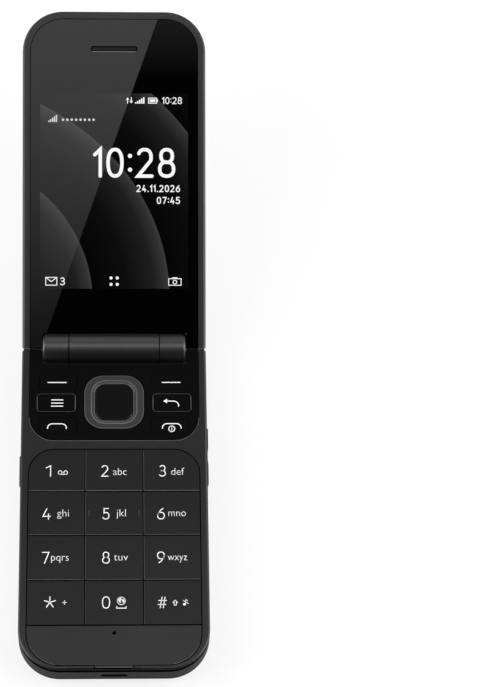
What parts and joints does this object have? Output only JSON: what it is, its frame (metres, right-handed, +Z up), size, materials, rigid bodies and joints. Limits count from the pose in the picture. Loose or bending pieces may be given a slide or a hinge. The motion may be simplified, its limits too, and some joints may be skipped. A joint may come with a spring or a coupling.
{
  "type": "folding mobile phone",
  "caption": "Clamshell mobile phone, open: keypad half with a navigation ring, barrel hinge, and a lid with a tall inner screen and a small outer one.",
  "frame": {"origin": "on the flat back of the base, midway along it, where the open phone rests", "axes": "+X to the user's right, +Y from the keypad towards the lid, +Z up out of the keys"},
  "size_m": [0.0552, 0.1935, 0.0515],
  "materials": {
    "satin_frame": "satin",
    "matte_shell": "matte",
    "gloss_black": "gloss",
    "key_plastic": "satin",
    "window_glass": "gloss",
    "display": "gloss",
    "silicone": "matte",
    "circuit_board": "satin",
    "bright_steel": "satin",
    "light_alloy": "satin",
    "black_parts": "matte"
  },
  "bodies": {
    "base": {"base_front_frame": "satin_frame", "base_rear_housing": "matte_shell", "fascia_panel": "gloss_black", "chin_panel": "key_plastic", "keypad_board": "circuit_board", "metal_domes": "bright_steel", "keymat": "silicone", "main_board": "circuit_board", "shield_cans": "bright_steel", "battery": "light_alloy", "battery_contacts": "black_parts", "sim_card_holder": "black_parts", "loudspeaker": "black_parts", "vibration_motor": "bright_steel", "usb_socket": "bright_steel", "microphone": "black_parts", "camera_module": "black_parts", "hinge_shaft": "bright_steel", "hinge_tube": "bright_steel", "hinge_caps": "satin_frame", "housing_screws": "bright_steel", "side_switches": "black_parts"},
    "cover": {"battery_cover": "matte_shell", "camera_window": "window_glass"},
    "lid": {"lid_frame": "satin_frame", "lid_back_cover": "matte_shell", "outer_window": "window_glass", "inner_window": "window_glass", "main_display": "display", "outer_display": "display", "lid_chassis": "light_alloy", "lid_board": "circuit_board", "earpiece": "black_parts", "earpiece_mesh": "black_parts", "lid_magnet": "bright_steel", "hinge_flex": "circuit_board", "hinge_cartridge": "bright_steel"},
    "key_1": {"key_1": "key_plastic"},
    "key_2": {"key_2": "key_plastic"},
    "key_3": {"key_3": "key_plastic"},
    "key_4": {"key_4": "key_plastic"},
    "key_5": {"key_5": "key_plastic"},
    "key_6": {"key_6": "key_plastic"},
    "key_7": {"key_7": "key_plastic"},
    "key_8": {"key_8": "key_plastic"},
    "key_9": {"key_9": "key_plastic"},
    "key_star": {"key_star": "key_plastic"},
    "key_0": {"key_0": "key_plastic"},
    "key_hash": {"key_hash": "key_plastic"},
    "left_soft_key": {"left_soft_key": "gloss_black"},
    "right_soft_key": {"right_soft_key": "gloss_black"},
    "menu_key": {"menu_key": "gloss_black"},
    "back_key": {"back_key": "gloss_black"},
    "call_key": {"call_key": "gloss_black"},
    "end_key": {"end_key": "gloss_black"},
    "centre_key": {"centre_key": "gloss_black"},
    "nav_pad": {"nav_pad": "silicone"},
    "nav_ring": {"nav_ring": "satin_frame"},
    "volume_rocker": {"volume_rocker": "key_plastic"},
    "side_key": {"side_key": "key_plastic"}
  },
  "joints": [
    {"name": "lid_hinge", "type": "hinge", "parent": "base", "child": "lid", "pos_m": [0, 0.05, 0.01175], "axis": [1, 0, 0], "range_deg": [0, 156.5]},
    {"name": "cover_removal", "type": "slide", "parent": "base", "child": "cover", "axis": [0, 0, -1], "range_m": [0, 0.015]},
    {"name": "key_1_press", "type": "slide", "parent": "base", "child": "key_1", "axis": [0, 0, -1], "range_m": [0, 0.0003], "stiffness_N_per_m": 3000, "springref_m": -0.0001},
    {"name": "key_2_press", "type": "slide", "parent": "base", "child": "key_2", "axis": [0, 0, -1], "range_m": [0, 0.0003], "stiffness_N_per_m": 3000, "springref_m": -0.0001},
    {"name": "key_3_press", "type": "slide", "parent": "base", "child": "key_3", "axis": [0, 0, -1], "range_m": [0, 0.0003], "stiffness_N_per_m": 3000, "springref_m": -0.0001},
    {"name": "key_4_press", "type": "slide", "parent": "base", "child": "key_4", "axis": [0, 0, -1], "range_m": [0, 0.0003], "stiffness_N_per_m": 3000, "springref_m": -0.0001},
    {"name": "key_5_press", "type": "slide", "parent": "base", "child": "key_5", "axis": [0, 0, -1], "range_m": [0, 0.0003], "stiffness_N_per_m": 3000, "springref_m": -0.0001},
    {"name": "key_6_press", "type": "slide", "parent": "base", "child": "key_6", "axis": [0, 0, -1], "range_m": [0, 0.0003], "stiffness_N_per_m": 3000, "springref_m": -0.0001},
    {"name": "key_7_press", "type": "slide", "parent": "base", "child": "key_7", "axis": [0, 0, -1], "range_m": [0, 0.0003], "stiffness_N_per_m": 3000, "springref_m": -0.0001},
    {"name": "key_8_press", "type": "slide", "parent": "base", "child": "key_8", "axis": [0, 0, -1], "range_m": [0, 0.0003], "stiffness_N_per_m": 3000, "springref_m": -0.0001},
    {"name": "key_9_press", "type": "slide", "parent": "base", "child": "key_9", "axis": [0, 0, -1], "range_m": [0, 0.0003], "stiffness_N_per_m": 3000, "springref_m": -0.0001},
    {"name": "key_star_press", "type": "slide", "parent": "base", "child": "key_star", "axis": [0, 0, -1], "range_m": [0, 0.0003], "stiffness_N_per_m": 3000, "springref_m": -0.0001},
    {"name": "key_0_press", "type": "slide", "parent": "base", "child": "key_0", "axis": [0, 0, -1], "range_m": [0, 0.0003], "stiffness_N_per_m": 3000, "springref_m": -0.0001},
    {"name": "key_hash_press", "type": "slide", "parent": "base", "child": "key_hash", "axis": [0, 0, -1], "range_m": [0, 0.0003], "stiffness_N_per_m": 3000, "springref_m": -0.0001},
    {"name": "left_soft_key_press", "type": "slide", "parent": "base", "child": "left_soft_key", "axis": [0, 0, -1], "range_m": [0, 0.0003], "stiffness_N_per_m": 3000, "springref_m": -0.0001},
    {"name": "right_soft_key_press", "type": "slide", "parent": "base", "child": "right_soft_key", "axis": [0, 0, -1], "range_m": [0, 0.0003], "stiffness_N_per_m": 3000, "springref_m": -0.0001},
    {"name": "menu_key_press", "type": "slide", "parent": "base", "child": "menu_key", "axis": [0, 0, -1], "range_m": [0, 0.0003], "stiffness_N_per_m": 3000, "springref_m": -0.0001},
    {"name": "back_key_press", "type": "slide", "parent": "base", "child": "back_key", "axis": [0, 0, -1], "range_m": [0, 0.0003], "stiffness_N_per_m": 3000, "springref_m": -0.0001},
    {"name": "call_key_press", "type": "slide", "parent": "base", "child": "call_key", "axis": [0, 0, -1], "range_m": [0, 0.0003], "stiffness_N_per_m": 3000, "springref_m": -0.0001},
    {"name": "end_key_press", "type": "slide", "parent": "base", "child": "end_key", "axis": [0, 0, -1], "range_m": [0, 0.0003], "stiffness_N_per_m": 3000, "springref_m": -0.0001},
    {"name": "centre_key_press", "type": "slide", "parent": "base", "child": "centre_key", "axis": [0, 0, -1], "range_m": [0, 0.0003], "stiffness_N_per_m": 3000, "springref_m": -0.0001},
    {"name": "nav_up_down", "type": "hinge", "parent": "base", "child": "nav_pad", "pos_m": [0, 0.0327, 0.0101], "axis": [1, 0, 0], "range_deg": [-1.2, 1.2], "stiffness_Nm_per_rad": 0.8},
    {"name": "nav_left_right", "type": "hinge", "parent": "nav_pad", "child": "nav_ring", "pos_m": [0, 0.0327, 0.0101], "axis": [0, 1, 0], "range_deg": [-1.2, 1.2], "stiffness_Nm_per_rad": 0.8},
    {"name": "volume_rock", "type": "hinge", "parent": "base", "child": "volume_rocker", "pos_m": [0.0262, 0.017, 0.0067], "axis": [0, 0, 1], "range_deg": [-0.8, 0.8], "stiffness_Nm_per_rad": 1.2},
    {"name": "side_key_press", "type": "slide", "parent": "base", "child": "side_key", "axis": [1, 0, 0], "range_m": [0, 0.0003], "stiffness_N_per_m": 3000, "springref_m": -0.0001}
  ]
}
